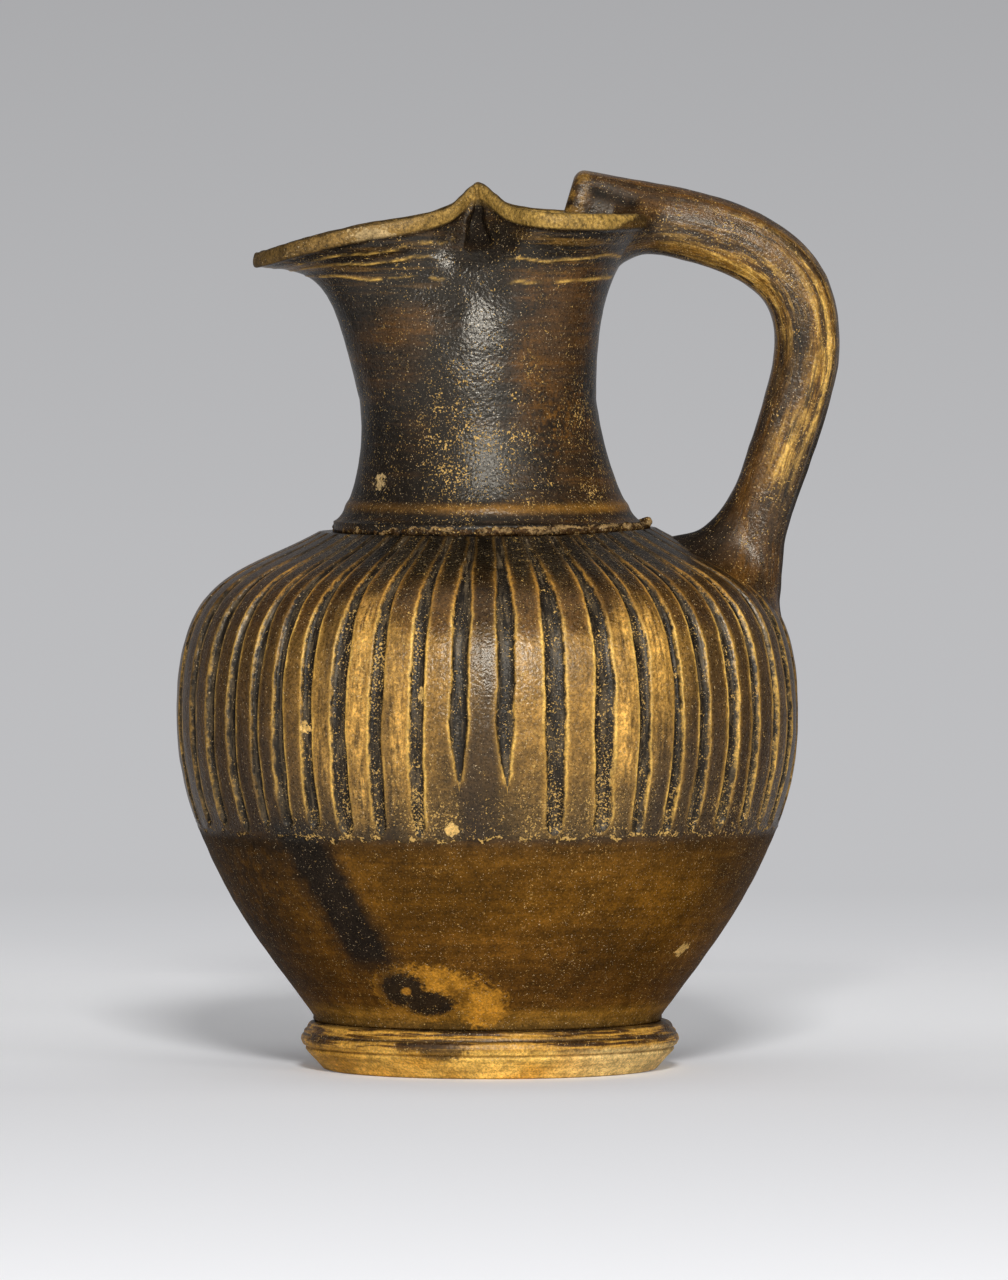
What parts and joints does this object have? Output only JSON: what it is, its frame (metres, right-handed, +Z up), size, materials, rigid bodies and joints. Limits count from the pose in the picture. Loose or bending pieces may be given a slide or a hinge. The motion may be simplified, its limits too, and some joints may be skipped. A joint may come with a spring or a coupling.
{
  "type": "trefoil oinochoe",
  "caption": "Wheel-made clay pouring jug with a three-lobed mouth, tall neck, ribbed round body, ring foot and a thick high looped handle in dark gloss.",
  "frame": {"origin": "middle of the base of the whole jug's box, on the surface that it stands on", "axes": "+Z up along the jug, -X towards the spout, +X towards the handle, Y across the jug"},
  "size_m": [0.1324, 0.1239, 0.1796],
  "materials": {
    "worn_foot": "worn ochre clay with thin streaky gloss",
    "glossed_body": "brown to black gloss over orange-brown clay, worn on the edges of the ribs",
    "rough_ring": "rough, crusted clay",
    "dark_neck": "near-black gloss, pitted, with a worn golden lip",
    "glossed_handle": "dark brown gloss, worn golden along the arch"
  },
  "bodies": {
    "root": {"foot": "worn_foot", "body": "glossed_body", "neck_ring": "rough_ring", "neck_and_mouth": "dark_neck", "handle": "glossed_handle"}
  },
  "joints": []
}
